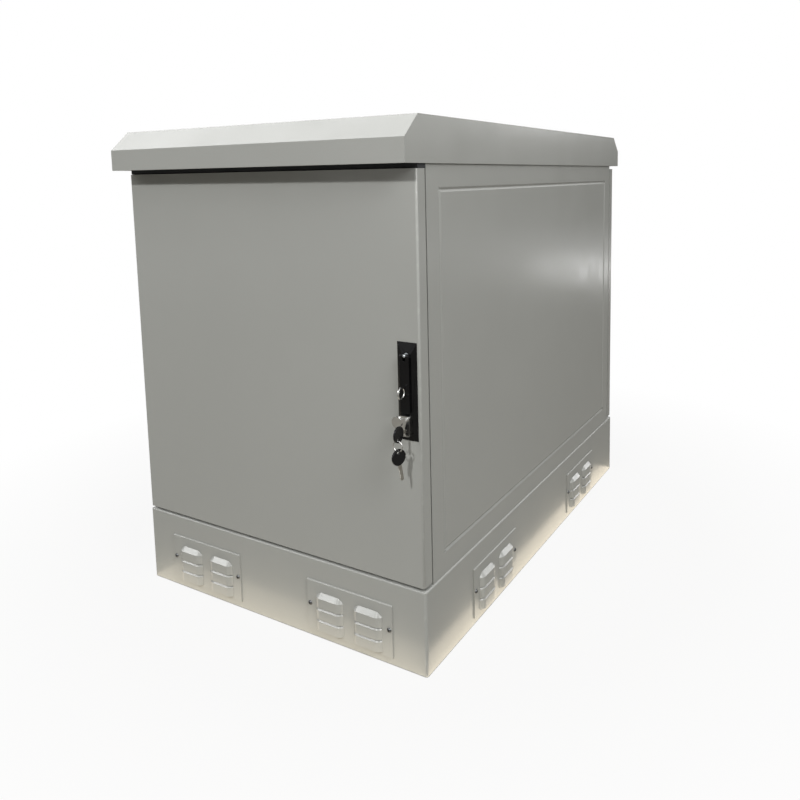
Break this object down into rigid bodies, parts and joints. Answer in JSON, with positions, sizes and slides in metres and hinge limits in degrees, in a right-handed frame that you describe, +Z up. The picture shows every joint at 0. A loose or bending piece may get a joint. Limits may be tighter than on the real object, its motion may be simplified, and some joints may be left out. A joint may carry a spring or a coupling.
{
  "type": "roadside utility cabinet",
  "caption": "Low sheet-steel outdoor cabinet on a louvred plinth, with a sloped roof cap, a front door with a rod lock and keys, and rack rails inside.",
  "frame": {"origin": "middle of the plinth's underside", "axes": "+Z up, the door faces -Y, the door's hinges are on -X and its lock on +X"},
  "size_m": [0.6214, 0.9735, 0.8344],
  "materials": {
    "grey_paint": "semi-gloss grey powder coat",
    "zinc": "zinc plated",
    "black_lock": "gloss black coat on die-cast zinc",
    "black_plastic": "moulded black plastic",
    "chrome": "polished",
    "seal_rubber": "matt",
    "copper": "bare copper"
  },
  "bodies": {
    "cabinet": {"plinth": "grey_paint", "floor_plate": "grey_paint", "side_panel_left": "grey_paint", "side_panel_right": "grey_paint", "front_frame": "grey_paint", "rear_frame": "grey_paint", "rear_cover": "grey_paint", "top_plate": "grey_paint", "roof_cap": "grey_paint", "vent_front_left": "grey_paint", "vent_front_right": "grey_paint", "vent_rear_left": "grey_paint", "vent_rear_right": "grey_paint", "vent_left_front": "grey_paint", "vent_left_rear": "grey_paint", "vent_right_front": "grey_paint", "vent_right_rear": "grey_paint", "rear_cover_spacers": "zinc", "rear_cover_screws": "zinc", "roof_support_front": "zinc", "roof_support_rear": "zinc", "roof_bolts": "zinc", "vent_screws": "zinc", "rail_front_left": "zinc", "rail_front_right": "zinc", "rail_rear_left": "zinc", "rail_rear_right": "zinc", "rail_bolts": "zinc", "hinge_bracket_upper": "zinc", "hinge_bracket_lower": "zinc", "hinge_pin_upper": "zinc", "hinge_pin_lower": "zinc", "keeper_upper": "zinc", "keeper_lower": "zinc", "earth_posts": "black_plastic", "cable_trim": "seal_rubber", "weather_strip": "seal_rubber", "earth_bar": "copper"},
    "door": {"door_panel": "grey_paint", "door_seal": "seal_rubber", "door_stiffener_upper": "grey_paint", "door_stiffener_lower": "grey_paint", "hinge_leaf_upper": "zinc", "hinge_leaf_lower": "zinc", "lock_housing": "black_lock", "lock_cylinder": "chrome", "rod_guide_upper": "black_plastic", "rod_guide_lower": "black_plastic"},
    "lock_hub": {"lock_spindle": "zinc", "lock_cam": "zinc"},
    "handle": {"lock_handle": "black_lock", "handle_pin": "zinc", "padlock_eye": "chrome"},
    "rod_above": {"upper_rod": "zinc"},
    "rod_below": {"lower_rod": "zinc"},
    "key": {"lock_plug": "chrome", "door_key": "black_plastic"},
    "key_set": {"key_ring": "chrome", "spare_key": "black_plastic"},
    "cover_flap": {"dust_cover": "chrome"}
  },
  "joints": [
    {"name": "door_swing", "type": "hinge", "parent": "cabinet", "child": "door", "pos_m": [-0.292, -0.444, 0.448], "axis": [0, 0, -1], "range_deg": [0, 100]},
    {"name": "handle_turn", "type": "hinge", "parent": "door", "child": "lock_hub", "pos_m": [0.2785, -0.455, 0.491], "axis": [0, 1, 0], "range_deg": [0, 90]},
    {"name": "handle_lift", "type": "hinge", "parent": "lock_hub", "child": "handle", "pos_m": [0.2785, -0.4563, 0.491], "axis": [-1, 0, 0], "range_deg": [0, 35]},
    {"name": "rod_above_slide", "type": "slide", "parent": "door", "child": "rod_above", "axis": [0, 0, 1], "range_m": [0, 0.013]},
    {"name": "rod_below_slide", "type": "slide", "parent": "door", "child": "rod_below", "axis": [0, 0, -1], "range_m": [0, 0.013]},
    {"name": "key_turn", "type": "hinge", "parent": "door", "child": "key", "pos_m": [0.2785, -0.46, 0.382], "axis": [0, 1, 0], "range_deg": [0, 90]},
    {"name": "key_ring_swing", "type": "hinge", "parent": "key", "child": "key_set", "pos_m": [0.2785, -0.4797, 0.37305], "axis": [-1, 0, 0], "range_deg": [-20, 60]},
    {"name": "dust_cover_swing", "type": "hinge", "parent": "door", "child": "cover_flap", "pos_m": [0.282, -0.4638, 0.399], "axis": [0, 1, 0], "range_deg": [0, 40]}
  ],
  "couplings": [
    {"joint": "rod_above_slide", "follows": "handle_turn", "m_per_rad": 0.008276},
    {"joint": "rod_below_slide", "follows": "handle_turn", "m_per_rad": 0.008276}
  ]
}
